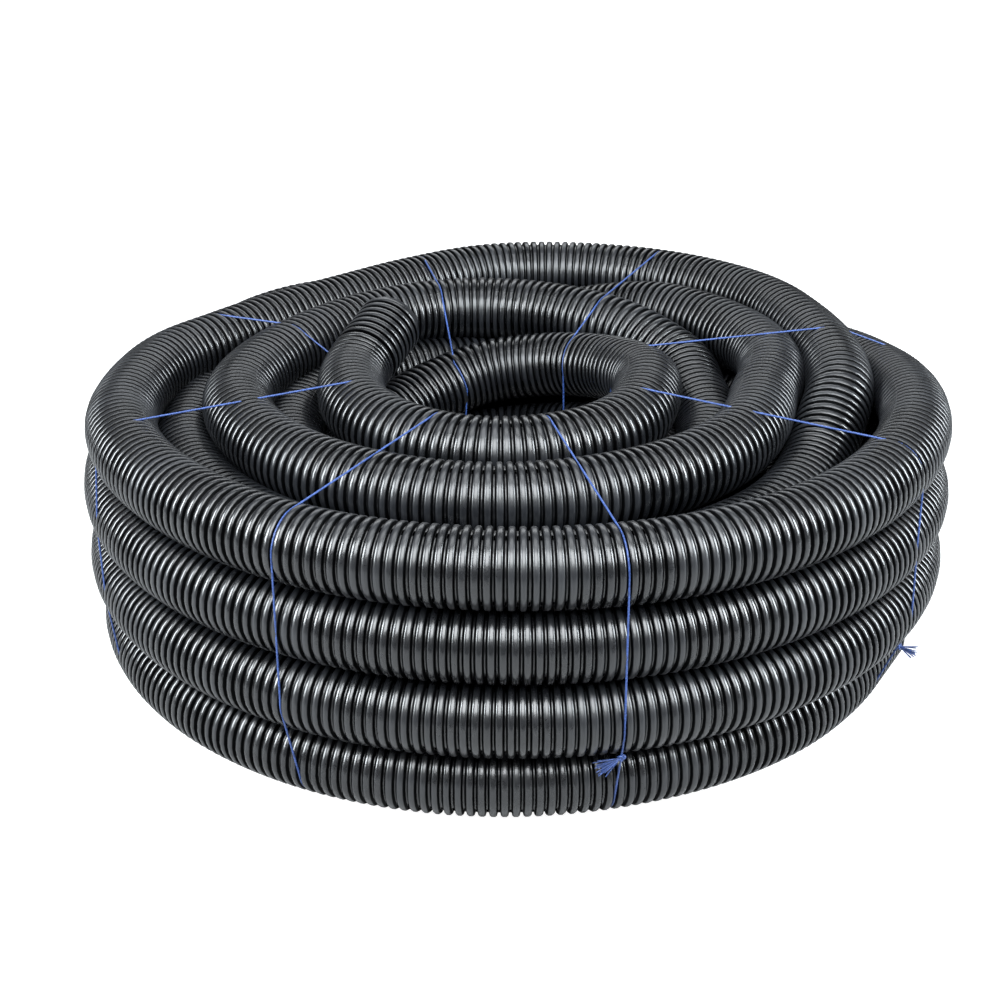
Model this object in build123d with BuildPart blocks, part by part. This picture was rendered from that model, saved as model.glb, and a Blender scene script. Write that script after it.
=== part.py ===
"""A 50 m coil of 100 mm corrugated land drainage pipe, lying flat and tied with eight loops of twine.
Millimetres, +Z up, the axis of the outer turns on Z and their foot on z = 0, seen from -Y."""

from build123d import *

import os
from math import ceil, cos, floor, hypot, pi, radians, sin, sqrt, tan

PIPE_D = 100.0
WALL = 1.1
CREST_DEPTH = 5.6
PITCH = 13.3
CREST_SHARE = 0.58
FLANK_SHARE = 0.10
SPIGOT = 9.0
END_CRESTS = 7
SLOT_LENGTH = 14.0
SLOT_WIDTH = 1.8
SLOT_ROWS = 3

LEVEL_GAP = 0.5
NEST_GAP = 2.0
OUTER_RADII = (565.0, 572.0, 577.0, 567.0)
INNER_RADIUS = 225.0
INNER_CENTRE = (-21.0, 14.0)
TOP_WINDINGS = 5
SHELF_LAP = 4.0
DRUM_FLAT = 0.5

FALL_TURNS = (20.0, 150.0)
FALL_STEPS = 6
INNER_END_TURN = 176.0
INNER_END_RUN = 40.0
INNER_MOUTH_TURN = 132.7
INNER_MOUTH_OUT = 24.0
INNER_MOUTH_RISE = 38.0
OUTER_END_TURN = 331.0
OUTER_FALL_TURNS = (-15.0, 75.0)

# Stations of the loose turns on top: the angle round the coil, then percent of the way out from the turn
# round the eye to the outermost, then percent of the way up from the low turns to the high ones.
SECOND_TURNS = (
    (60, 31, -97), (100, 32, -39), (139, 33, -11), (200, 29, -7), (232, 25, -8), (262, 24, -8), (300, 18, -8),
    (330, 15, -7), (355, 17, -2), (381, 20, 17), (398, 30, 45), (418, 30, 88), (432, 34, 99), (446, 39, 101),
    (465, 45, 101), (520, 46, 99), (545, 52, 99), (600, 48, 99), (650, 42, 99), (680, 39, 99), (713, 38, 99),
    (726, 44, 99), (747, 55, 99), (768, 59, 98), (779, 61, 90), (795, 63, 48), (815, 65, -27), (840, 63, -66),
    (880, 60, -73),
)
OUTER_TURNS = (
    (100, 72, -81), (140, 72, -24), (168, 74, 1), (240, 71, 4), (300, 66, -2), (328, 63, 1), (340, 63, 20),
    (350, 66, 63), (358, 70, 98), (368, 74, 110), (389, 83, 118), (410, 97, 110), (426, 104, 102),
    (443, 104, 99), (455, 99, 99), (470, 85, 99), (485, 75, 99), (500, 75, 99), (516, 81, 99), (540, 95, 99),
    (554, 99, 99), (605, 101, 99), (660, 101, 99), (705, 100, 98), (724, 101, 76), (735, 103, 51),
    (750, 105, 20), (765, 105, -19), (790, 104, -55), (815, 105, -49), (830, 106, -7), (841, 107, 29),
    (855, 107, 32), (870, 106, 4), (890, 104, -33), (915, 98, -64),
)
SECOND_LENGTHS = (60, 400, 640, 880)
OUTER_LENGTHS = (100, 430, 765, 915)
ROUTE_STEP = 15.0

TWINE_D = 3.0
TWINE_GAP = 0.3
GROOVE_WIDTH = 6.0
TIE_TURNS = ((286.9, 282), (248, 242), (205, 204), (152, 156), (111, 106), (59, 65), (16, 14.5), (329, 328))

pipe_r = PIPE_D / 2
valley_r = pipe_r - CREST_DEPTH
level_pitch = PIPE_D + LEVEL_GAP
level_z = [pipe_r + level_pitch * level for level in range(len(OUTER_RADII))]
foot_z = level_z[0]
top_z = level_z[-1]
top_width = OUTER_RADII[-1] - INNER_RADIUS - hypot(*INNER_CENTRE)
foot_width = OUTER_RADII[0] - INNER_RADIUS - hypot(*INNER_CENTRE)
top_spacing = top_width / (TOP_WINDINGS - 1)
foot_windings = 1 + floor(foot_width / level_pitch)
low_z = top_z - sqrt((PIPE_D + NEST_GAP) ** 2 - top_spacing ** 2)
shelf_z = top_z - pipe_r + SHELF_LAP
drum_r = INNER_RADIUS - pipe_r + DRUM_FLAT
end_length = SPIGOT + END_CRESTS * PITCH


def point_on(centre, radius, turn, height=0.0):
    return Vector(centre[0] + radius * cos(radians(turn)), centre[1] + radius * sin(radians(turn)), height)


def upright(centre, turn):
    """The upright plane through a winding's axis, x outwards at an angle round it."""
    outward = point_on((0, 0), 1, turn)
    return Plane(origin=(centre[0], centre[1], 0), x_dir=outward, z_dir=outward.cross(Vector(0, 0, 1)))


def axis_at(centre):
    return Axis((centre[0], centre[1], 0), (0, 0, 1))


def winding(share, inner_radius, outer_radius):
    """Centre and radius of a winding: share 0 is round the eye, share 1 is the outside of the coil."""
    centre = (INNER_CENTRE[0] * (1 - share), INNER_CENTRE[1] * (1 - share))
    return centre, inner_radius + (outer_radius - inner_radius) * share


def core():
    """The outer turns below the top and the hidden ones inside them, turned in one about the coil's axis."""
    turns = list(zip(OUTER_RADII, level_z))[:-1]
    with BuildPart() as solid:
        with BuildSketch(Plane.XZ):
            with BuildLine():
                Polyline((0, foot_z), *turns, (turns[-1][0], shelf_z), (0, shelf_z), close=True)
            make_face()
            with Locations(*turns):
                Circle(pipe_r)
        revolve(axis=Axis.Z)
        with Locations((INNER_CENTRE[0], INNER_CENTRE[1], 0)):
            Cylinder(INNER_RADIUS, 2 * top_z, mode=Mode.SUBTRACT)
    return solid.part


def ring(centre, radius, z, first=0.0, last=360.0):
    """One level turn of pipe."""
    with BuildPart() as solid:
        with BuildSketch(upright(centre, first)):
            with Locations((radius, z)):
                Circle(pipe_r)
            with Locations((drum_r, z)):
                Rectangle(PIPE_D, PIPE_D, align=(Align.MAX, Align.CENTER), mode=Mode.SUBTRACT)
        revolve(axis=axis_at(centre), revolution_arc=last - first)
    return solid.part


def rings():
    """The level turns that show: those round the eye, and those at the foot."""
    shown = [ring(INNER_CENTRE, INNER_RADIUS, top_z, INNER_END_TURN, 360 + FALL_TURNS[0])]
    shown += [ring(INNER_CENTRE, INNER_RADIUS, z) for z in level_z[:-1]]
    for number in range(1, foot_windings - 1):
        centre, radius = winding(number / (foot_windings - 1), INNER_RADIUS, OUTER_RADII[0])
        shown.append(ring(centre, radius, foot_z))
    return shown


def outer_end_clearance():
    """The stretch at the foot where the outermost turn has ended."""
    with BuildPart() as stretch:
        with BuildSketch(upright((0, 0), OUTER_END_TURN)):
            with Locations((OUTER_RADII[0] - pipe_r - LEVEL_GAP, -PIPE_D)):
                Rectangle(2 * PIPE_D, level_z[1] - pipe_r + PIPE_D, align=(Align.MIN, Align.MIN))
        revolve(axis=Axis.Z, revolution_arc=360 + OUTER_FALL_TURNS[1] - OUTER_END_TURN)
    return stretch.part


def drum():
    """What the coil was wound on, which pressed the crests round the eye flat."""
    with BuildPart() as solid:
        with Locations((INNER_CENTRE[0], INNER_CENTRE[1], top_z / 2)):
            Cylinder(drum_r, 2 * top_z)
    return solid.part


def eased(share):
    """From 0 to 1, level at both ends."""
    held = min(max(share, 0.0), 1.0)
    return held * held * (3 - 2 * held)


def bend_radius(before, corner, after):
    """The largest bend that the two runs at a corner leave room for."""
    run = min((corner - before).length, (after - corner).length)
    half_turn = radians((corner - before).get_angle(after - corner) / 2)
    return 0.45 * run / tan(half_turn)


def laid_pipe(points):
    """A stretch of pipe at its crest diameter, along straight runs joined by tangent arcs."""
    bends = [bend_radius(*points[n:n + 3]) for n in range(len(points) - 2)]
    with BuildPart() as stretch:
        with BuildLine() as route:
            FilletPolyline(*points, radius=bends)
        path = route.wires()[0]
        with BuildSketch(Plane(origin=path @ 0, z_dir=path % 0)):
            Circle(pipe_r)
        sweep(path=path)
    share = stretch.part.volume / (pi * pipe_r ** 2 * path.length)
    print("bends", [round(bend) for bend in bends], "length", round(path.length), "volume share", round(share, 4))
    return stretch.part


def falling_points(centre, radius, turns, high, low):
    """The corners of a turn's way down from one level to the one below it."""
    step = (turns[1] - turns[0]) / FALL_STEPS
    points = [point_on(centre, radius, turns[0], high)]
    for number in range(FALL_STEPS):
        z = high - (high - low) * eased(number / (FALL_STEPS - 1))
        points.append(point_on(centre, radius / cos(radians(step / 2)), turns[0] + step * (number + 0.5), z))
    points.append(point_on(centre, radius, turns[1], low))
    return points


def station(stations, turn):
    """Radius and height of a loose turn at an angle, between its stations."""
    for (turn_0, out_0, up_0), (turn_1, out_1, up_1) in zip(stations, stations[1:]):
        if turn_0 <= turn <= turn_1:
            share = (turn - turn_0) / (turn_1 - turn_0)
            out = (out_0 + (out_1 - out_0) * share) / 100
            up = (up_0 + (up_1 - up_0) * share) / 100
            return INNER_RADIUS + (OUTER_RADII[-1] - INNER_RADIUS) * out, low_z + (top_z - low_z) * up


def loose_points(stations, first, last):
    """The corners of one length of a loose turn."""
    count = ceil((last - first) / ROUTE_STEP)
    step = (last - first) / count
    points = [point_on((0, 0), station(stations, first)[0], first, station(stations, first)[1])]
    for number in range(count):
        turn = first + step * (number + 0.5)
        radius, z = station(stations, turn)
        points.append(point_on((0, 0), radius / cos(radians(step / 2)), turn, z))
    points.append(point_on((0, 0), station(stations, last)[0], last, station(stations, last)[1]))
    return points


def open_end(mouth):
    """A cut end: one thin corrugated wall with drainage slots in its valleys, open at the mouth's plane."""
    crest = PITCH * CREST_SHARE
    flank = PITCH * FLANK_SHARE
    valley = PITCH - crest - 2 * flank
    outer = [(valley_r, 0.0)]
    for number in range(END_CRESTS):
        start = SPIGOT + number * PITCH
        outer += [(valley_r, start), (pipe_r, start + flank)]
        outer += [(pipe_r, start + flank + crest), (valley_r, start + 2 * flank + crest)]
    outer.append((valley_r, end_length))
    inner = [(radius - WALL, along) for radius, along in reversed(outer)]
    with BuildPart() as end:
        with BuildSketch(Plane.XZ):
            with BuildLine():
                Polyline(*[(radius, -along) for radius, along in outer + inner], close=True)
            make_face()
        revolve(axis=Axis.Z)
        for number in range(1, END_CRESTS):
            along = SPIGOT + number * PITCH - valley / 2
            for row in range(SLOT_ROWS):
                spot = Location((0, 0, -along), (0, 0, 360 / SLOT_ROWS * row)) * Location((valley_r, 0, 0))
                with Locations(spot):
                    Box(6 * WALL, SLOT_LENGTH, SLOT_WIDTH, mode=Mode.SUBTRACT)
    return mouth.location * end.part


def inner_end():
    """The inner end leaves the top turn at the left and rises over the turns behind it."""
    start = point_on(INNER_CENTRE, INNER_RADIUS, INNER_END_TURN, top_z)
    onward = Vector(sin(radians(INNER_END_TURN)), -cos(radians(INNER_END_TURN)), 0)
    bend = start + onward * INNER_END_RUN
    tip = point_on(INNER_CENTRE, INNER_RADIUS + INNER_MOUTH_OUT, INNER_MOUTH_TURN, top_z + INNER_MOUTH_RISE)
    mouth = Plane(origin=tip, z_dir=tip - bend)
    with BuildPart() as rise:
        add(laid_pipe([start, bend, tip - mouth.z_dir * end_length]))
        add(drum(), mode=Mode.SUBTRACT)
    return rise.part, open_end(mouth), mouth


def outer_end():
    """The outer end leaves the outermost turn at the foot, straight on."""
    start = point_on((0, 0), OUTER_RADII[0], OUTER_END_TURN, foot_z)
    along = Vector(-sin(radians(OUTER_END_TURN)), cos(radians(OUTER_END_TURN)), 0)
    mouth = Plane(origin=start + along * (end_length - 0.5), z_dir=along)
    return open_end(mouth), mouth


def tie_plane(inner_turn, outer_turn):
    """The upright plane of one tie, x outwards from the axis of the turns round the eye."""
    inside = point_on(INNER_CENTRE, INNER_RADIUS, inner_turn)
    outward = (point_on((0, 0), max(OUTER_RADII), outer_turn) - inside).normalized()
    return Plane(origin=inside, x_dir=outward, z_dir=outward.cross(Vector(0, 0, 1)))


def crossings(plane, points):
    """Where a way through points crosses the upright plane of a tie, on the side that the tie is on."""
    local = [plane.to_local_coords(point) for point in points]
    found = []
    for before, after in zip(local, local[1:]):
        if before.Z * after.Z <= 0 and before.Z != after.Z:
            spot = before + (after - before) * (before.Z / (before.Z - after.Z))
            if spot.X > -pipe_r:
                found.append((spot.X, spot.Y))
    return found


def turned(origin, before, after):
    """Above zero where the way from one point over a second to a third turns left."""
    return (before[0] - origin[0]) * (after[1] - origin[1]) - (before[1] - origin[1]) * (after[0] - origin[0])


def outermost(points):
    """The points that a loop pulled tight round all of them touches, in order."""
    loop = []
    for row in (sorted(points), sorted(points, reverse=True)):
        side = []
        for point in row:
            while len(side) > 1 and turned(side[-2], side[-1], point) <= 0:
                side.pop()
            side.append(point)
        loop += side[:-1]
    return loop


def level_points(centre, radius, z, first=0.0, last=360.0):
    """Points along a level turn."""
    return [point_on(centre, radius, first + (last - first) * number / 120, z) for number in range(121)]


def tie_section(inner_turn, outer_turn):
    """The upright plane of one tie and the turns in it that the tie touches."""
    plane = tie_plane(inner_turn, outer_turn)
    ways = list(routes)
    ways.append(level_points(INNER_CENTRE, INNER_RADIUS, top_z, INNER_END_TURN, 360 + FALL_TURNS[0]))
    for radius, z in zip(OUTER_RADII[1:-1], level_z[1:-1]):
        ways.append(level_points((0, 0), radius, z))
    ways.append(level_points((0, 0), OUTER_RADII[0], foot_z, OUTER_FALL_TURNS[1], OUTER_END_TURN))
    ways.append(level_points(INNER_CENTRE, INNER_RADIUS, foot_z))
    centre, radius = winding(1 - 1 / (foot_windings - 1), INNER_RADIUS, OUTER_RADII[0])
    ways.append(level_points(centre, radius, foot_z))
    return plane, outermost([spot for way in ways for spot in crossings(plane, way)])


def wrapped(turns, radius):
    """A tight loop round turns of a given radius."""
    with BuildSketch() as outline:
        with BuildLine():
            Polyline(*turns, close=True)
        make_face()
        offset(amount=radius, kind=Kind.ARC)
    return outline.sketch


def tie(inner_turn, outer_turn):
    """One loop of twine, lying in a valley of each turn that it crosses."""
    plane, turns = tie_section(inner_turn, outer_turn)
    with BuildSketch(plane) as outline:
        add(wrapped(turns, valley_r + TWINE_GAP + TWINE_D / 2))
    loop = outline.sketch.wires()[0]
    with BuildPart() as twine:
        with BuildSketch(Plane(origin=loop @ 0, z_dir=loop % 0)):
            Circle(TWINE_D / 2)
        sweep(path=loop)
    return twine.part


def tie_groove(inner_turn, outer_turn):
    """The valleys that a tie lies in, as the band to take out of the packed turns."""
    plane, turns = tie_section(inner_turn, outer_turn)
    with BuildPart() as groove:
        with BuildSketch(plane):
            add(wrapped(turns, pipe_r + TWINE_D))
            add(wrapped(turns, valley_r), mode=Mode.SUBTRACT)
        extrude(amount=GROOVE_WIDTH / 2, both=True)
    return groove.part


routes = [
    falling_points(INNER_CENTRE, INNER_RADIUS + 2 * DRUM_FLAT, FALL_TURNS, top_z, level_z[-2]),
    falling_points((0, 0), OUTER_RADII[0], OUTER_FALL_TURNS, level_z[1], foot_z),
]
for stations, lengths in ((SECOND_TURNS, SECOND_LENGTHS), (OUTER_TURNS, OUTER_LENGTHS)):
    routes += [loose_points(stations, first, last) for first, last in zip(lengths, lengths[1:])]
inner_rise, inner_tip, inner_mouth = inner_end()
outer_tip, outer_mouth = outer_end()
with BuildPart() as coil:
    add(core())
    for turn in rings():
        add(turn)
    add(outer_end_clearance(), mode=Mode.SUBTRACT)
    for points in routes:
        add(laid_pipe(points))
grooved = coil.part - [tie_groove(*turns) for turns in TIE_TURNS]
with BuildPart() as pipe:
    add(grooved)
    for stretch in (inner_rise, inner_tip, outer_tip):
        add(stretch)
pipe.part.label = "pipe"
os.makedirs("parts", exist_ok=True)
export_step(pipe.part, "parts/pipe.step")
print("pipe", pipe.part.is_valid, len(pipe.part.solids()), round(pipe.part.volume / 1e6, 2), pipe.part.bounding_box())
print("low turns", round(low_z, 1), "foot windings", foot_windings, "drum", drum_r, "faces", len(pipe.part.faces()))
for name, mouth in (("inner end", inner_mouth), ("outer end", outer_mouth)):
    print(name, mouth.origin, mouth.z_dir)

for number, turns in enumerate(TIE_TURNS, 1):
    twine = tie(*turns)
    twine.label = f"tie_{number}"
    export_step(twine, f"parts/{twine.label}.step")
    print(twine.label, twine.is_valid, round(twine.volume), round(twine.distance_to(pipe.part), 2))
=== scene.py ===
import bisect
import math
import random

import bmesh
import bpy
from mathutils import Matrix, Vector


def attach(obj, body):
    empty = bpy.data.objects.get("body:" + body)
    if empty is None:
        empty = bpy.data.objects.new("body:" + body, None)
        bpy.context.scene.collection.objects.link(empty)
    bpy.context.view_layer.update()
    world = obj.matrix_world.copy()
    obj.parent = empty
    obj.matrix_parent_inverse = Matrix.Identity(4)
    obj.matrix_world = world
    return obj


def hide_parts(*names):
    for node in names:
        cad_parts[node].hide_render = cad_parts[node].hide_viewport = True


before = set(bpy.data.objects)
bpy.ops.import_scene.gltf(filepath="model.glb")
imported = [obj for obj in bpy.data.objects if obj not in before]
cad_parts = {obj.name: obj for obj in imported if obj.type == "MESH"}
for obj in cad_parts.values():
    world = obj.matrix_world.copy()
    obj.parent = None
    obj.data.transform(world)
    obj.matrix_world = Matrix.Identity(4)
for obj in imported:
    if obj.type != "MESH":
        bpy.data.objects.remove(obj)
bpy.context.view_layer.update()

up = Vector((0, 0, 1))


def addPiece(name, mesh):
    piece = bpy.data.objects.new(name, mesh)
    bpy.context.scene.collection.objects.link(piece)
    return piece


def onCircle(centre, radius, degrees):
    angle = math.radians(degrees)
    return Vector((centre[0] + radius * math.cos(angle), centre[1] + radius * math.sin(angle), 0))


# shader helpers
class Value:
    # wraps a socket, so that shader sums are written as plain expressions
    def __init__(self, maker, socket):
        self.maker = maker
        self.socket = socket

    def sum(self, operation, *others):
        return self.maker.node("ShaderNodeMath", {"operation": operation}, dict(enumerate((self, *others))))

    def __add__(self, other):
        return self.sum("ADD", other)

    __radd__ = __add__

    def __sub__(self, other):
        return self.sum("SUBTRACT", other)

    def __rsub__(self, other):
        return self.maker.node("ShaderNodeMath", {"operation": "SUBTRACT"}, {0: other, 1: self})

    def __mul__(self, other):
        return self.sum("MULTIPLY", other)

    __rmul__ = __mul__

    def __truediv__(self, other):
        return self.sum("DIVIDE", other)

    def clamp(self):
        return self.sum("MAXIMUM", 0.0).sum("MINIMUM", 1.0)

    def abs(self):
        return self.sum("ABSOLUTE")

    def fraction(self):
        return self.sum("FRACT")

    def above(self, edge, soft):
        return ((self - (edge - soft)) / (2 * soft)).clamp()


class Maker:
    def __init__(self, name):
        self.material = bpy.data.materials.new(name)
        self.material.use_nodes = True
        self.tree = self.material.node_tree
        self.shader = self.tree.nodes["Principled BSDF"]

    def node(self, kind, settings=None, sockets=None, output=0):
        made = self.tree.nodes.new(kind)
        for key, value in (settings or {}).items():
            setattr(made, key, value)
        for key, value in (sockets or {}).items():
            self.put(made.inputs[key], value)
        return Value(self, made.outputs[output])

    def put(self, socket, value):
        if isinstance(value, Value):
            self.tree.links.new(value.socket, socket)
        else:
            socket.default_value = value

    def set(self, **sockets):
        for key, value in sockets.items():
            self.put(self.shader.inputs[key.replace("_", " ")], value)

    def split(self, vector):
        parts = self.tree.nodes.new("ShaderNodeSeparateXYZ")
        self.put(parts.inputs[0], vector)
        return [Value(self, socket) for socket in parts.outputs]

    def noise(self, place, scale, detail, roughness=0.5):
        sockets = {"Vector": place, "Scale": scale, "Detail": detail, "Roughness": roughness}
        return self.node("ShaderNodeTexNoise", sockets=sockets)

    def ramp(self, value, stops):
        made = self.tree.nodes.new("ShaderNodeValToRGB")
        for element, (position, colour) in zip(made.color_ramp.elements, stops):
            element.position = position
            element.color = (*colour, 1.0)
        self.put(made.inputs["Fac"], value)
        return Value(self, made.outputs[0])


# Geometry Nodes helper
class ShapeTree:
    def __init__(self, name, inputs):
        self.tree = bpy.data.node_groups.new(name, "GeometryNodeTree")
        for label, kind in inputs.items():
            self.tree.interface.new_socket(label, in_out="INPUT", socket_type="NodeSocket" + kind)
        self.tree.interface.new_socket("Geometry", in_out="OUTPUT", socket_type="NodeSocketGeometry")
        self.given = self.add("NodeGroupInput").outputs

    def add(self, kind, sockets=None, **settings):
        node = self.tree.nodes.new(kind)
        for key, value in settings.items():
            setattr(node, key, value)
        for key, value in (sockets or {}).items():
            if isinstance(value, bpy.types.NodeSocket):
                self.tree.links.new(value, node.inputs[key])
            else:
                node.inputs[key].default_value = value
        return node

    def sum(self, operation, *values):
        return self.add("ShaderNodeMath", dict(enumerate(values)), operation=operation).outputs[0]

    def pick(self, place, values):
        # the value for each place in the pitch
        switch = self.add("GeometryNodeIndexSwitch", data_type="FLOAT")
        while len(switch.index_switch_items) < len(values):
            switch.index_switch_items.new()
        self.tree.links.new(place, switch.inputs[0])
        for number, value in enumerate(values):
            switch.inputs[number + 1].default_value = value
        return switch.outputs[0]

    def keep(self, geometry, **values):
        # holds values on the points: the outputs are the geometry and then the values
        node = self.add("GeometryNodeCaptureAttribute", {0: geometry})
        for number, (label, value) in enumerate(values.items(), 1):
            node.capture_items.new("FLOAT", label)
            self.tree.links.new(value, node.inputs[number])
        return node.outputs


pipeSizes = {"radius": 0.050, "crestDepth": 0.0056, "pitch": 0.0133, "wall": 0.0011}
valleyRadius = pipeSizes["radius"] - pipeSizes["crestDepth"]

# the route of the pipe: angle anticlockwise from above, distance from the coil's axis, height, in mm
coilRoute = {
    "inner": [
        (155, 251, 362.4), (161, 249.8, 356.5), (168, 246.5, 352.3), (176, 242, 351), (185, 238, 351),
        (205, 235, 351), (232, 233, 351), (259, 231, 351), (290, 216, 351), (322, 198, 351), (346, 188, 351),
        (360, 191, 351), (372, 197, 348), (395, 206, 336), (409, 219, 325), (430, 236, 310), (444, 243, 300),
        (461, 249, 288), (480, 244, 270), (503, 239, 254), (540, 242, 250), (620, 226, 250), (690, 206, 250),
        (740, 214, 235), (800, 240, 185), (860, 247, 155), (900, 242, 150), (980, 226, 150), (1050, 206, 150),
        (1100, 214, 130), (1160, 240, 80), (1220, 247, 54), (1260, 242, 50), (1340, 226, 50), (1410, 206, 50),
        (1520, 240, 50)],
    "second": [
        (60, 330, 225), (100, 334, 262), (139, 338, 280), (160, 338, 284), (200, 324, 283), (232, 310, 282),
        (262, 306, 282), (300, 288, 282), (330, 276, 283), (355, 282, 286), (381, 294, 298), (398, 326, 316),
        (409, 327, 332), (418, 328, 344), (428, 332, 350), (446, 357, 352), (465, 379, 352), (485, 382, 351),
        (506, 378, 351), (520, 384, 351), (537, 397, 351), (545, 402, 351), (570, 396, 351), (600, 389, 351),
        (623, 383, 351), (650, 368, 351), (680, 358, 351), (713, 354, 351), (726, 376, 351), (735, 396, 351),
        (747, 413, 351), (759, 421, 351), (768, 426, 350), (779, 434, 345), (795, 442, 318), (805, 446, 292),
        (815, 447, 270), (840, 440, 255), (880, 430, 250)],
    "outer": [
        (100, 470, 235), (140, 470, 272), (168, 479, 288), (181, 477, 290), (200, 474, 290), (240, 469, 290),
        (266, 466, 288), (300, 452, 286), (328, 440, 288), (340, 441, 300), (350, 450, 328), (358, 466, 350),
        (368, 479, 358), (377, 490, 361), (389, 508, 363), (399, 533, 362), (410, 557, 358), (426, 580, 353),
        (443, 580, 351), (455, 563, 351), (470, 515, 351), (485, 482, 351), (500, 481, 351), (516, 502, 351),
        (527, 533, 351), (540, 551, 351), (554, 565, 351), (580, 567, 351), (605, 571, 351), (627, 569, 351),
        (660, 570, 351), (690, 567, 351), (705, 568, 350), (715, 567, 346), (724, 569, 336), (735, 576, 320),
        (750, 584, 300), (765, 584, 275), (790, 582, 252), (815, 584, 256), (830, 588, 283), (841, 592, 306),
        (855, 590, 308), (870, 583, 290), (890, 577, 266), (915, 574, 253), (945, 572, 251), (990, 568, 251),
        (1060, 573, 251), (1080, 573, 240), (1095, 573, 220), (1110, 573, 198), (1125, 573, 175),
        (1150, 573, 152), (1180, 573, 150.5), (1290, 574, 150.5), (1420, 572, 150.5), (1440, 572, 140),
        (1455, 571, 120), (1470, 570, 98), (1485, 569, 74), (1510, 567, 53), (1535, 565, 50.5),
        (1570, 565, 50.1), (1640, 562, 50.1), (1680, 556, 50.1), (1710, 548, 50.1), (1727, 541, 50.1),
        (1741, 538, 50.1), (1751, 536, 50.1), (1760, 533, 50.1), (1771, 530, 50.1)]}


def smoothRoute(stations, step=1.5):
    turns, radii, heights = zip(*stations)

    def slopes(values):
        steep = []
        for n in range(len(turns)):
            low, high = max(n - 1, 0), min(n + 1, len(turns) - 1)
            steep.append((values[high] - values[low]) / (turns[high] - turns[low]))
        return steep

    radiusSlope, heightSlope = slopes(radii), slopes(heights)

    def between(values, steep, n, t):
        run = turns[n + 1] - turns[n]
        rest = 1 - t
        return (values[n] * rest * rest * (1 + 2 * t) + values[n + 1] * t * t * (3 - 2 * t)
                + steep[n] * run * t * rest * rest - steep[n + 1] * run * t * t * rest)

    count = math.ceil((turns[-1] - turns[0]) / step)
    points = []
    for k in range(count + 1):
        turn = turns[0] + (turns[-1] - turns[0]) * k / count
        n = min(bisect.bisect_right(turns, turn) - 1, len(turns) - 2)
        t = (turn - turns[n]) / (turns[n + 1] - turns[n])
        radius = between(radii, radiusSlope, n, t) / 1000
        angle = math.radians(turn)
        height = between(heights, heightSlope, n, t) / 1000
        points.append(Vector((radius * math.cos(angle), radius * math.sin(angle), height)))
    return points


# the corrugated wall, as rings along the route: share of the pitch, and depth below the crest in mm
corrugation = {
    "fine": {
        "rings": [(0.0, 5.6), (0.22, 5.6), (0.30, 1.5), (0.45, 0.0), (0.76, 0.0), (0.92, 1.5)],
        "sides": 26},
    "coarse": {
        "rings": [(0.0, 5.6), (0.22, 5.6), (0.33, 0.0), (0.9, 0.0)],
        "sides": 18}}
valleyMiddle = 0.11


class Run:
    # a stretch of pipe along its centre line, which knows where its valleys are
    def __init__(self, name, points):
        self.name = name
        self.points = points
        self.along = [0.0]
        for before, after in zip(points, points[1:]):
            self.along.append(self.along[-1] + (after - before).length)
        self.length = self.along[-1]
        self.corrugations = round(self.length / pipeSizes["pitch"])
        self.pitch = self.length / self.corrugations

    def at(self, distance):
        n = min(max(bisect.bisect_right(self.along, distance) - 1, 0), len(self.points) - 2)
        t = (distance - self.along[n]) / (self.along[n + 1] - self.along[n])
        return self.points[n].lerp(self.points[n + 1], t), (self.points[n + 1] - self.points[n]).normalized()

    def valleyNear(self, distance):
        number = round(distance / self.pitch - valleyMiddle)
        return (number + valleyMiddle) * self.pitch


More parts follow.
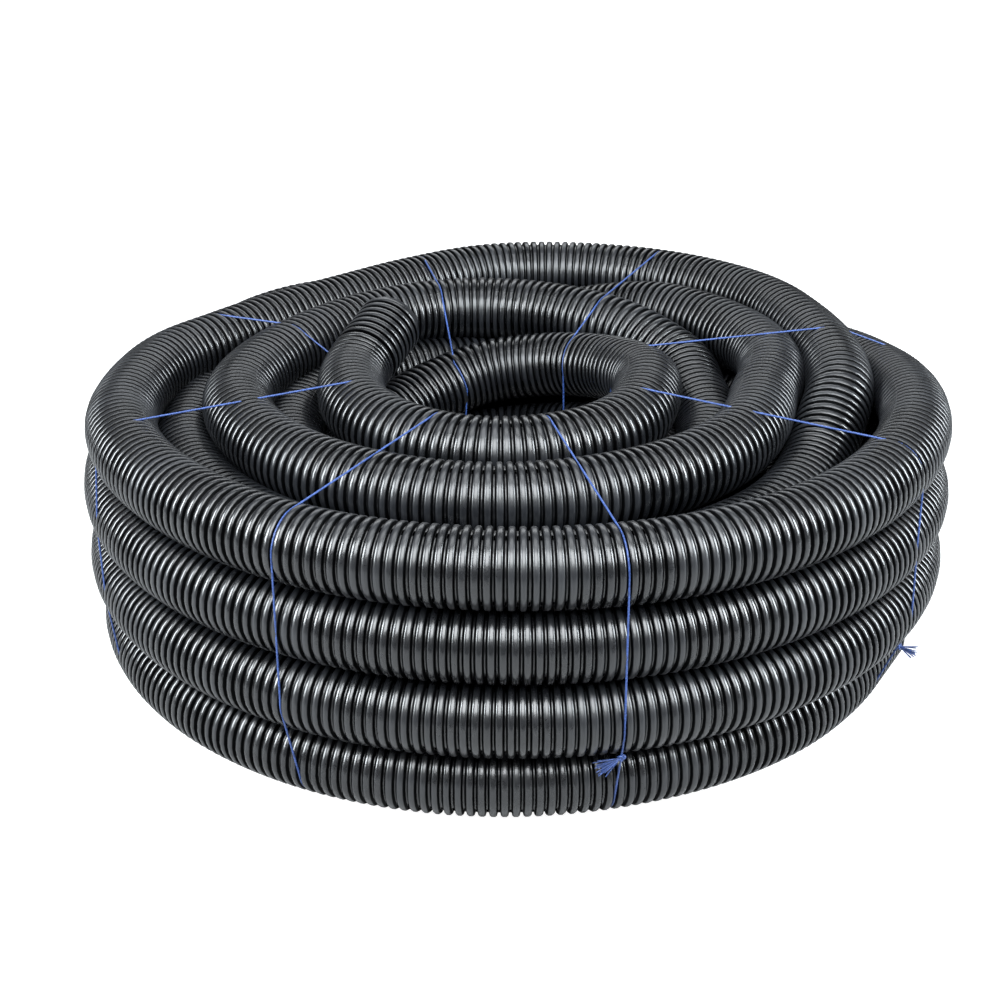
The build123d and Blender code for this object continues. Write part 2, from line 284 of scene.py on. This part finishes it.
def corrugatedTree(name, rings, sides):
    inputs = {"Geometry": "Geometry", "Ring Count": "Int", "Pitch": "Float", "Crest Radius": "Float"}
    shape = ShapeTree(name, {**inputs, "Finish": "Material"})
    given = shape.given
    count = len(rings)
    index = shape.add("GeometryNodeInputIndex").outputs[0]
    place = shape.add("FunctionNodeIntegerMath", {0: index, 1: count}, operation="MODULO").outputs[0]

    # rings at even steps, each moved along the route to its own share of the pitch
    even = shape.add("GeometryNodeResampleCurve", {"Curve": given["Geometry"], "Count": given["Ring Count"]})
    shift = shape.pick(place, [share - number / count for number, (share, depth) in enumerate(rings)])
    distance = shape.sum("MULTIPLY", shift, given["Pitch"])
    tangent = shape.add("GeometryNodeInputTangent").outputs[0]
    offset = shape.add("ShaderNodeVectorMath", {0: tangent, "Scale": distance}, operation="SCALE").outputs[0]
    placed = shape.add("GeometryNodeSetPosition", {"Geometry": even.outputs[0], "Offset": offset})

    # each ring's radius, and how many pitches along it lies
    depth = shape.pick(place, [depth / 1000 for share, depth in rings])
    radius = shape.sum("SUBTRACT", given["Crest Radius"], depth)
    ringShare = shape.pick(place, [share for share, depth in rings])
    whole = shape.sum("FLOOR", shape.sum("DIVIDE", index, float(count)))
    route = shape.keep(placed.outputs[0], Along=shape.sum("ADD", whole, ringShare), Radius=radius)
    upright = shape.add("GeometryNodeSetCurveNormal", {0: route[0]}, mode="Z_UP")

    circle = shape.add("GeometryNodeCurvePrimitiveCircle", {"Resolution": sides, "Radius": 1.0})
    parameter = shape.add("GeometryNodeSplineParameter").outputs[0]
    section = shape.keep(circle.outputs[0], Around=shape.sum("MULTIPLY", parameter, 2 * math.pi))
    tube = shape.add("GeometryNodeCurveToMesh", {
        "Curve": upright.outputs[0], "Profile Curve": section[0], "Scale": route[2]})

    # the shader reads the place on the wall: pitches along, and the angle's cosine and sine
    cosine = shape.sum("COSINE", section[1])
    sine = shape.sum("SINE", section[1])
    wall = shape.add("ShaderNodeCombineXYZ", {0: route[1], 1: cosine, 2: sine}).outputs[0]
    stored = shape.add("GeometryNodeStoreNamedAttribute", {"Geometry": tube.outputs[0], "Name": "wall"},
                       data_type="FLOAT_VECTOR", domain="POINT")
    shape.tree.links.new(wall, stored.inputs["Value"])
    smoothed = shape.add("GeometryNodeSetShadeSmooth", {0: stored.outputs[0]})
    real = shape.add("GeometryNodeRealizeInstances", {0: smoothed.outputs[0]})
    finished = shape.add("GeometryNodeSetMaterial", {0: real.outputs[0], "Material": given["Finish"]})
    shape.add("NodeGroupOutput", {0: finished.outputs[0]})
    return shape.tree


def meshFromModifier(name, carrier):
    depsgraph = bpy.context.evaluated_depsgraph_get()
    mesh = bpy.data.meshes.new_from_object(carrier.evaluated_get(depsgraph))
    mesh.name = name
    bpy.data.objects.remove(carrier)
    return addPiece(name, mesh)


def layPipe(run, kind, finish):
    curve = bpy.data.curves.new(run.name, "CURVE")
    curve.dimensions = "3D"
    spline = curve.splines.new("POLY")
    spline.points.add(len(run.points) - 1)
    for point, place in zip(spline.points, run.points):
        point.co = (*place, 1.0)
    carrier = addPiece(run.name, curve)
    tree = wallTrees[kind]
    modifier = carrier.modifiers.new("Corrugation", "NODES")
    modifier.node_group = tree
    sockets = {item.name: item.identifier for item in tree.interface.items_tree if item.in_out == "INPUT"}
    modifier[sockets["Ring Count"]] = run.corrugations * len(corrugation[kind]["rings"]) + 1
    modifier[sockets["Pitch"]] = run.pitch
    modifier[sockets["Crest Radius"]] = pipeSizes["radius"]
    modifier[sockets["Finish"]] = finish
    return meshFromModifier(run.name, carrier)


# the finish of the pipe, with painted shade in the valleys and darker painted shade on their flanks; an edge
# is a place in pitches from the middle of the valley, and its softness
pipeLook = {
    "tint": (0.90, 1.0, 1.22), "shade": 0.003, "dustShade": 0.006, "grainShade": 0.003,
    "dustScale": 9.0, "dustEdge": (0.56, 0.12), "grainScale": 260.0,
    "valleyEdge": (0.240, 0.040), "flankEdge": (0.095, 0.020), "valleyPaintedShade": 0.5, "flankPaintedShade": 0.4,
    "rough": 0.22, "dustRough": 0.12, "grainRough": 0.08, "flankRough": 0.12,
    "gloss": 0.64, "flankGloss": 0.62, "ior": 1.5,
    "seamAcross": (0.80, 0.60), "seamEdge": (0.014, 0.010),
    "bumpDepth": 0.0006, "bumpStrength": 0.35, "grainBump": 0.25,
    "slotAngles": (40, 160, 280), "slotEdge": (0.068, 0.006), "slotEnds": (0.9877, 0.001)}


def slotMask(fromValley, upward, sideways):
    # one row of slots at each angle, in the middle of the valleys; the slots are painted black, a painted
    # shade in place of holes
    rows = []
    for degrees in pipeLook["slotAngles"]:
        angle = math.radians(degrees)
        facing = upward * math.cos(angle) + sideways * math.sin(angle)
        rows.append(facing.above(*pipeLook["slotEnds"]))
    return (1 - fromValley.above(*pipeLook["slotEdge"])) * sum(rows)


def makePipeFinish(name, slotted):
    look = pipeLook
    maker = Maker(name)
    wall = maker.node("ShaderNodeAttribute", {"attribute_name": "wall"}, output="Vector")
    along, upward, sideways = maker.split(wall)
    place = maker.node("ShaderNodeTexCoord", output="Object")
    fromValley = 0.5 - ((along.fraction() - valleyMiddle).abs() - 0.5).abs()
    valley = 1 - fromValley.above(*look["valleyEdge"])
    flank = valley * fromValley.above(*look["flankEdge"])
    dusty = maker.noise(place, look["dustScale"], 6.0, 0.6).above(*look["dustEdge"])
    grain = maker.noise(place, look["grainScale"], 3.0)
    shade = look["shade"] + dusty * look["dustShade"] + grain * look["grainShade"]
    # painted shade: the colour is darkened in the valleys and more on their flanks, where shade falls between
    # the crests; the flanks also lose their gloss below
    shade = shade * (1 - valley * look["valleyPaintedShade"] - flank * look["flankPaintedShade"])
    rough = look["rough"] + dusty * look["dustRough"] + grain * look["grainRough"]
    rough = rough + flank * look["flankRough"]
    gloss = look["gloss"] - flank * look["flankGloss"]
    # painted shade: the slots are painted black and lose their gloss, standing in for holes into the dark
    # inside of the pipe
    if slotted:
        slot = slotMask(fromValley, upward, sideways)
        shade = shade * (1 - slot)
        gloss = gloss * (1 - slot)
    seamUp, seamSide = look["seamAcross"]
    seam = 1 - (upward * seamUp - sideways * seamSide).abs().above(*look["seamEdge"])
    relief = seam * (1 - valley) + grain * look["grainBump"]
    colour = maker.node("ShaderNodeCombineColor", sockets={n: shade * look["tint"][n] for n in range(3)})
    bump = maker.node("ShaderNodeBump", sockets={
        "Distance": look["bumpDepth"], "Strength": look["bumpStrength"], "Height": relief})
    maker.set(Base_Color=colour, Roughness=rough, Specular_IOR_Level=gloss, IOR=look["ior"], Normal=bump)
    return maker.material


twineLook = {
    "streakScale": 420.0, "rough": 0.45,
    "stops": [(0.3, (0.006, 0.019, 0.080)), (0.72, (0.034, 0.078, 0.26))]}


def makeTwineFinish():
    maker = Maker("Blue polypropylene twine")
    place = maker.node("ShaderNodeTexCoord", output="Object")
    streak = maker.noise(place, twineLook["streakScale"], 4.0)
    maker.set(Base_Color=maker.ramp(streak, twineLook["stops"]), Roughness=twineLook["rough"])
    return maker.material


pipeFinish = makePipeFinish("Black corrugated polyethylene", True)
endFinish = makePipeFinish("Black corrugated polyethylene, cut end", False)
twineFinish = makeTwineFinish()
print("finishes made")

# the pipe laid along its route
smooth = {name: smoothRoute(stations) for name, stations in coilRoute.items()}


def cutRoute(name, first, last):
    start = coilRoute[name][0][0]
    end = coilRoute[name][-1][0]
    count = len(smooth[name]) - 1
    low = round((first - start) / (end - start) * count)
    high = round((last - start) / (end - start) * count)
    return smooth[name][low:high + 1]


def fillingTurn(radius, height, centre=(-0.008, 0.005)):
    return [onCircle(centre, radius, degrees) + up * height for degrees in range(0, 361, 2)]


seenRuns = [
    Run("pipe_inner_top", cutRoute("inner", 155, 520)),
    Run("pipe_second_low", cutRoute("second", 60, 428)),
    Run("pipe_second_top", cutRoute("second", 428, 880)),
    Run("pipe_outer_low", cutRoute("outer", 100, 420)),
    Run("pipe_outer_top", cutRoute("outer", 420, 750)),
    Run("pipe_outer_third", cutRoute("outer", 750, 1110)),
    Run("pipe_outer_second", cutRoute("outer", 1110, 1465)),
    Run("pipe_outer_foot", cutRoute("outer", 1465, 1771))]
hiddenRuns = [
    Run("pipe_inner_wall", cutRoute("inner", 520, 1520)),
    Run("pipe_filling_upper", fillingTurn(0.400, 0.214)),
    Run("pipe_filling_middle", fillingTurn(0.472, 0.151)),
    Run("pipe_filling_foot_inside", fillingTurn(0.338, 0.050)),
    Run("pipe_filling_foot_outside", fillingTurn(0.452, 0.050))]
wallTrees = {kind: corrugatedTree("Corrugated wall, " + kind, **sizes) for kind, sizes in corrugation.items()}
pipePieces = []
for run in seenRuns + hiddenRuns:
    piece = layPipe(run, "coarse" if run in hiddenRuns else "fine", pipeFinish)
    pipePieces.append(piece)
    faces = len(piece.data.polygons)
    print(run.name, round(run.length, 2), "m", run.corrugations, "corrugations", faces, "faces")

# the two cut ends: one thin wall, with slots cut through it in the valleys
endSizes = {
    "spigot": 0.009, "crests": 7, "slotLength": 0.014, "slotWidth": 0.0018, "slotRows": 3, "sides": 80,
    "profile": [(0.0, 5.6), (0.07, 0.9), (0.16, 0.0), (0.62, 0.0), (0.71, 0.9), (0.78, 5.6)],
    "valleyShare": 0.89, "sharpAngle": 38,
    "mouths": {
        "pipe_inner_end": ((-0.189862, 0.196994, 0.3895), (0.369117, 0.890607, 0.265653)),
        "pipe_outer_end": ((0.5131, -0.1676, 0.0501), (0.48481, 0.87462, 0.0))}}


def endRings():
    # distance from the mouth, crest or valley radius, and whether the slots start here
    pitch = pipeSizes["pitch"]
    rings = [(0.0, valleyRadius, False)]
    for number in range(endSizes["crests"]):
        start = endSizes["spigot"] + number * pitch
        for share, depth in endSizes["profile"]:
            rings.append((start + share * pitch, pipeSizes["radius"] - depth / 1000, False))
        if number < endSizes["crests"] - 1:
            middle = start + endSizes["valleyShare"] * pitch
            half = endSizes["slotWidth"] / 2
            rings.append((middle - half, valleyRadius, True))
            rings.append((middle + half, valleyRadius, False))
    rings.append((endSizes["spigot"] + endSizes["crests"] * pitch, valleyRadius, False))
    return rings


def endPoints(mouth, direction, rings):
    # the outside of the wall first, then the inside, with each point's place on the wall for the shader
    outward = Vector(direction).normalized()
    side = outward.cross(up).normalized()
    top = side.cross(outward)
    shift = valleyMiddle - endSizes["spigot"] / pipeSizes["pitch"] - endSizes["valleyShare"]
    vertices = []
    wallPlaces = []
    for inside in (0, 1):
        for distance, radius, slotted in rings:
            for k in range(endSizes["sides"]):
                angle = 2 * math.pi * k / endSizes["sides"]
                reach = radius - inside * pipeSizes["wall"]
                place = Vector(mouth) - outward * distance
                place += (side * math.sin(angle) + top * math.cos(angle)) * reach
                vertices.append(place)
                wallPlaces.append((distance / pipeSizes["pitch"] + shift, math.cos(angle), math.sin(angle)))
    return vertices, wallPlaces


def endFaces(rings):
    sides = endSizes["sides"]
    slotCells = round(endSizes["slotLength"] / (2 * math.pi * valleyRadius) * sides)
    rowCells = sides / endSizes["slotRows"]
    layer = len(rings) * sides

    def isSlot(ring, k):
        return rings[ring][2] and (k % sides + 0.5) % rowCells < slotCells

    faces = []
    for ring in range(len(rings) - 1):
        for k in range(sides):
            if isSlot(ring, k):
                continue
            a, b = ring * sides + k, ring * sides + (k + 1) % sides
            c, d = b + sides, a + sides
            faces.append((a, b, c, d))
            faces.append((a + layer, d + layer, c + layer, b + layer))
        for k in range(sides):
            if not isSlot(ring, k):
                continue
            a, b = ring * sides + k, ring * sides + (k + 1) % sides
            c, d = b + sides, a + sides
            faces.append((a, a + layer, b + layer, b))
            faces.append((d, c, c + layer, d + layer))
            if not isSlot(ring, k - 1):
                faces.append((a, d, d + layer, a + layer))
            if not isSlot(ring, k + 1):
                faces.append((b, b + layer, c + layer, c))
    for k in range(sides):
        faces.append((k, k + layer, (k + 1) % sides + layer, (k + 1) % sides))
    return faces


def makeEnd(name, mouth, direction, finish):
    rings = endRings()
    vertices, wallPlaces = endPoints(mouth, direction, rings)
    mesh = bpy.data.meshes.new(name)
    mesh.from_pydata(vertices, [], endFaces(rings))
    attribute = mesh.attributes.new("wall", "FLOAT_VECTOR", "POINT")
    attribute.data.foreach_set("vector", [value for place in wallPlaces for value in place])
    mesh.materials.append(finish)
    shaper = bmesh.new()
    shaper.from_mesh(mesh)
    bmesh.ops.recalc_face_normals(shaper, faces=shaper.faces)
    shaper.to_mesh(mesh)
    shaper.free()
    mesh.shade_smooth()
    mesh.set_sharp_from_angle(angle=math.radians(endSizes["sharpAngle"]))
    return addPiece(name, mesh)


for name, (mouth, direction) in endSizes["mouths"].items():
    pipePieces.append(makeEnd(name, mouth, direction, endFinish))
print("ends made")
for piece in pipePieces:
    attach(piece, "root")
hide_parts("pipe")

# the twine: each loop lies in one valley of every turn that it touches
twineSizes = {
    "radius": 0.0015, "gap": 0.0003, "lay": 0.013, "strands": 3, "strandDepth": 0.26,
    "sides": 12, "step": 0.0025, "eye": (-0.021, 0.014), "eyeRadius": 0.225, "outerRadius": 0.577,
    "turns": [(286.9, 282), (248, 242), (205, 204), (152, 156), (111, 106), (59, 65), (16, 14.5), (329, 328)]}


def crossings(inside, outward, across):
    # where the pipe passes the loop's plane, moved to the middle of the nearest valley
    found = []
    for run in tiedRuns:
        before = None
        for n, point in enumerate(run.points):
            offset = (point - inside).dot(across)
            if before is not None and before * offset <= 0 and before != offset:
                share = before / (before - offset)
                distance = run.along[n - 1] + (run.along[n] - run.along[n - 1]) * share
                place, heading = run.at(run.valleyNear(distance))
                x = (place - inside).dot(outward)
                if x > -pipeSizes["radius"]:
                    found.append((x, place.z, place, heading))
            before = offset
    return found


def turned(origin, before, after):
    return (before[0] - origin[0]) * (after[1] - origin[1]) - (before[1] - origin[1]) * (after[0] - origin[0])


def outermost(spots):
    # the spots that a tight loop touches, in order round it
    forward = sorted(spots, key=lambda spot: spot[:2])
    backward = sorted(spots, key=lambda spot: spot[:2], reverse=True)
    loop = []
    for row in (forward, backward):
        side = []
        for spot in row:
            while len(side) > 1 and turned(side[-2], side[-1], spot) <= 0:
                side.pop()
            side.append(spot)
        loop += side[:-1]
    return loop


def bendRound(spot, last, following, outward):
    # the twine's bend round one turn of the pipe, from the spot before it to the spot after it
    x, z, place, heading = spot
    reach = valleyRadius + twineSizes["gap"] + twineSizes["radius"]
    first = math.atan2(-(x - last[0]), z - last[1])
    final = math.atan2(-(following[0] - x), following[1] - z)
    while final < first:
        final += 2 * math.pi
    out = (outward - heading * outward.dot(heading)).normalized()
    top = (up - heading * up.dot(heading) - out * up.dot(out)).normalized()
    count = max(2, round((final - first) * reach / twineSizes["step"]))
    points = []
    for k in range(count + 1):
        angle = first + (final - first) * k / count
        points.append(place + (out * math.cos(angle) + top * math.sin(angle)) * reach)
    return points


def tiePath(innerTurn, outerTurn):
    inside = onCircle(twineSizes["eye"], twineSizes["eyeRadius"], innerTurn)
    outside = onCircle((0, 0), twineSizes["outerRadius"], outerTurn)
    outward = (outside - inside).normalized()
    spots = outermost(crossings(inside, outward, outward.cross(up)))
    path = []
    for n, spot in enumerate(spots):
        path += bendRound(spot, spots[n - 1], spots[(n + 1) % len(spots)], outward)
    even = []
    for before, after in zip(path, path[1:] + path[:1]):
        count = max(1, round((after - before).length / twineSizes["step"]))
        even += [before.lerp(after, k / count) for k in range(count)]
    return even


def sweep(path, sides, radiusAt, closed):
    # a tube along a path; radiusAt gives the radius from the place along it and the angle round it
    vertices = []
    faces = []
    count = len(path)
    heading = (path[1] - path[0]).normalized()
    normal = heading.orthogonal().normalized()
    along = 0.0
    for n, place in enumerate(path):
        if closed:
            heading = (path[(n + 1) % count] - path[n - 1]).normalized()
        else:
            heading = (path[min(n + 1, count - 1)] - path[max(n - 1, 0)]).normalized()
        normal = (normal - heading * normal.dot(heading)).normalized()
        side = heading.cross(normal)
        if n:
            along += (place - path[n - 1]).length
        for k in range(sides):
            angle = 2 * math.pi * k / sides
            radius = radiusAt(along, angle)
            vertices.append(place + (normal * math.cos(angle) + side * math.sin(angle)) * radius)
    for n in range(count if closed else count - 1):
        for k in range(sides):
            a, b = n * sides + k, n * sides + (k + 1) % sides
            c, d = (n + 1) % count * sides + (k + 1) % sides, (n + 1) % count * sides + k
            faces.append((a, b, c, d))
    return vertices, faces


def laidTwine(along, angle):
    lobe = abs(math.sin(twineSizes["strands"] / 2 * (angle - 2 * math.pi * along / twineSizes["lay"])))
    return twineSizes["radius"] * (1 - twineSizes["strandDepth"] * lobe)


class Heap:
    # several tubes gathered into one mesh
    def __init__(self):
        self.vertices = []
        self.faces = []

    def add(self, vertices, faces):
        base = len(self.vertices)
        self.vertices += vertices
        self.faces += [tuple(base + index for index in face) for face in faces]

    def make(self, name, finish):
        mesh = bpy.data.meshes.new(name)
        mesh.from_pydata(self.vertices, [], self.faces)
        mesh.materials.append(finish)
        mesh.shade_smooth()
        return addPiece(name, mesh)


# the two knots that show, by the number of their loop
knotSizes = {
    1: {"height": 0.109, "tail": (-0.82, -0.12, -0.50), "length": 0.036},
    8: {"height": 0.107, "tail": (0.72, -0.30, -0.25), "length": 0.026}}
knotShape = {
    "standOff": 0.0018, "width": 0.0015, "rise": 0.0013, "depth": 0.0012,
    "points": 48, "cord": 0.0014, "cordSides": 8,
    "tails": 2, "fibres": 16, "fibre": 0.00055, "fibreSides": 4, "fibrePoints": 9,
    "spread": 0.24, "lift": 0.22, "shortest": 0.75, "bow": 0.008, "tuck": 0.30}


def knotLoop(centre, outward, side):
    # a trefoil, pulled small
    points = []
    for k in range(knotShape["points"]):
        t = 2 * math.pi * k / knotShape["points"]
        x = math.sin(t) + 2 * math.sin(2 * t)
        y = math.cos(t) - 2 * math.cos(2 * t)
        z = -math.sin(3 * t)
        spot = centre + side * x * knotShape["width"] + up * y * knotShape["rise"]
        points.append(spot + outward * z * knotShape["depth"])
    return points


def frayedFibre(centre, lean, length, chance):
    spread = Vector([chance.uniform(-knotShape["spread"], knotShape["spread"]) for axis in range(3)])
    end = centre + (lean + spread).normalized() * length * chance.uniform(knotShape["shortest"], 1.0)
    middle = centre.lerp(end, 0.5) + spread * knotShape["bow"]
    middle -= spread * knotShape["tuck"] * length
    points = []
    for k in range(knotShape["fibrePoints"]):
        t = k / (knotShape["fibrePoints"] - 1)
        points.append(centre * (1 - t) ** 2 + middle * 2 * t * (1 - t) + end * t * t)
    return points


def addKnot(heap, path, knot, chance):
    # tied on the outermost stretch of the loop, near the knot's height
    outer = max(path, key=lambda place: place.xy.length - 4 * abs(place.z - knot["height"]))
    outward = Vector((*outer.xy, 0)).normalized()
    centre = outer + outward * knotShape["standOff"]
    loop = knotLoop(centre, outward, outward.cross(up))
    heap.add(*sweep(loop, knotShape["cordSides"], lambda along, angle: knotShape["cord"], True))
    for tail in range(knotShape["tails"]):
        lean = Vector(knot["tail"]).normalized() + up * knotShape["lift"] * (1 - 2 * tail)
        for fibre in range(knotShape["fibres"]):
            points = frayedFibre(centre, lean, knot["length"], chance)
            heap.add(*sweep(points, knotShape["fibreSides"], lambda along, angle: knotShape["fibre"], False))


tiedRuns = [run for run in seenRuns + hiddenRuns if not run.name.startswith("pipe_filling")]
chance = random.Random(8)
for number, turns in enumerate(twineSizes["turns"], 1):
    path = tiePath(*turns)
    heap = Heap()
    heap.add(*sweep(path, twineSizes["sides"], laidTwine, True))
    if number in knotSizes:
        addKnot(heap, path, knotSizes[number], chance)
    piece = heap.make(f"twine_{number}", twineFinish)
    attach(piece, "root")
    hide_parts(f"tie_{number}")
print("twine tied")

# a white room: the floor and the world shine only for the camera, and the floor stays dark inside the coil
studio = {
    "floor": 60.0, "floorColour": (0.36, 0.36, 0.36, 1), "floorRough": 0.95,
    "floorGlow": 0.97, "glowFrom": (0.52, 0.015), "roomLight": 0.24, "aim": (0, 0, 0.2),
    "lamps": [
        ("key light", (0.0, -1.9, 2.3), (2.6, 1.6), 190, (0.93, 0.97, 1)),
        ("top light", (0.0, -0.1, 2.8), (2.6, 1.2), 40, (0.93, 0.97, 1)),
        ("left light", (-2.5, -0.9, 1.5), (0.9, 1.5), 170, (0.90, 0.96, 1)),
        ("right light", (2.5, -0.7, 1.5), (0.9, 1.5), 165, (0.88, 0.95, 1)),
        ("back light", (0.0, 2.4, 1.9), (2.4, 1.0), 24, (0.93, 0.97, 1))]}


def makeFloor():
    mesh = bpy.data.meshes.new("floor")
    half = studio["floor"] / 2
    corners = [(-half, -half, 0), (half, -half, 0), (half, half, 0), (-half, half, 0)]
    mesh.from_pydata(corners, [], [(0, 1, 2, 3)])
    floor = addPiece("floor", mesh)
    maker = Maker("White floor")
    place = maker.node("ShaderNodeNewGeometry", output="Position")
    fromAxis = maker.node("ShaderNodeVectorMath", {"operation": "LENGTH"}, {0: place}, output="Value")
    seen = maker.node("ShaderNodeLightPath", output="Is Camera Ray")
    glow = seen * fromAxis.above(*studio["glowFrom"]) * studio["floorGlow"]
    maker.set(Base_Color=studio["floorColour"], Roughness=studio["floorRough"])
    maker.set(Emission_Color=(1, 1, 1, 1), Emission_Strength=glow)
    mesh.materials.append(maker.material)


def makeWorld():
    world = bpy.data.worlds.new("Studio")
    bpy.context.scene.world = world
    world.use_nodes = True
    tree = world.node_tree
    background = tree.nodes["Background"]
    background.inputs["Color"].default_value = (1, 1, 1, 1)
    seen = tree.nodes.new("ShaderNodeLightPath")
    brightness = tree.nodes.new("ShaderNodeMapRange")
    brightness.inputs["To Min"].default_value = studio["roomLight"]
    brightness.inputs["To Max"].default_value = 1.0
    tree.links.new(seen.outputs["Is Camera Ray"], brightness.inputs["Value"])
    tree.links.new(brightness.outputs[0], background.inputs["Strength"])


def addLamp(name, place, size, power, colour):
    data = bpy.data.lights.new(name, "AREA")
    data.shape = "RECTANGLE"
    data.size, data.size_y = size
    data.energy = power
    data.color = colour
    lamp = addPiece(name, data)
    lamp.location = place
    lamp.rotation_euler = (Vector(studio["aim"]) - Vector(place)).to_track_quat("-Z", "Y").to_euler()


makeFloor()
makeWorld()
for lamp in studio["lamps"]:
    addLamp(*lamp)

cameraView = {"place": (-0.0239, -2.4548, 1.3109), "down": 24.8, "lens": 65.2, "sensor": 36}
cameraData = bpy.data.cameras.new("camera")
cameraData.sensor_width = cameraView["sensor"]
cameraData.lens = cameraView["lens"]
camera = addPiece("camera", cameraData)
camera.location = cameraView["place"]
camera.rotation_euler = (math.radians(90 - cameraView["down"]), 0, 0)
bpy.context.scene.camera = camera
bpy.context.scene.view_settings.view_transform = "Standard"
print("studio set")
